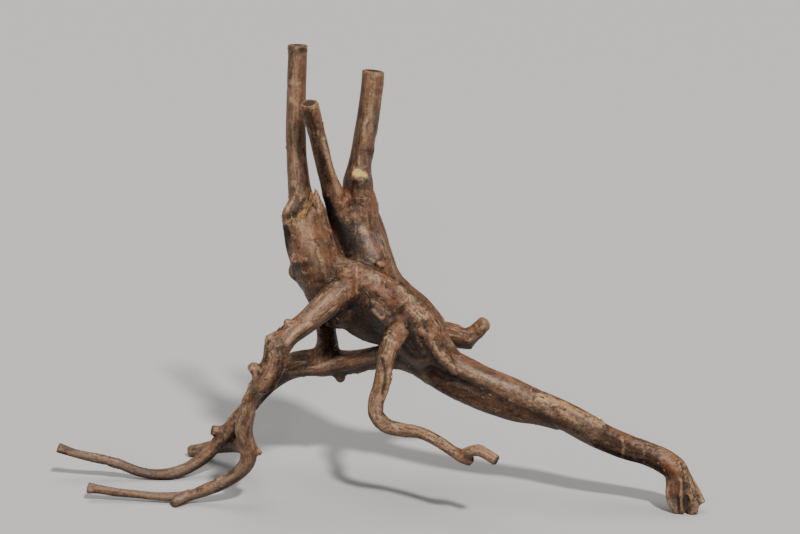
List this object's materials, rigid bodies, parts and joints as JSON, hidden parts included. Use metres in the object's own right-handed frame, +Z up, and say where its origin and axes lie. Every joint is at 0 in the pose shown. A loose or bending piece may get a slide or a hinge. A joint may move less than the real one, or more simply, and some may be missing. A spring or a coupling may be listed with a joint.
{
  "type": "dry root",
  "caption": "Dry driftwood root: a split trunk with sawn and torn stems, standing on arched, spreading roots and a toed foot.",
  "frame": {"origin": "on the floor that the root stands on, under the middle of its box", "axes": "+Z up, +X from the long thin roots towards the toed foot, -Y towards the front leg's side"},
  "size_m": [0.5477, 0.1879, 0.3773],
  "materials": {
    "dry_wood": "dull, fluted along the grain"
  },
  "bodies": {
    "root": {"dry_root": "dry_wood"}
  },
  "joints": []
}
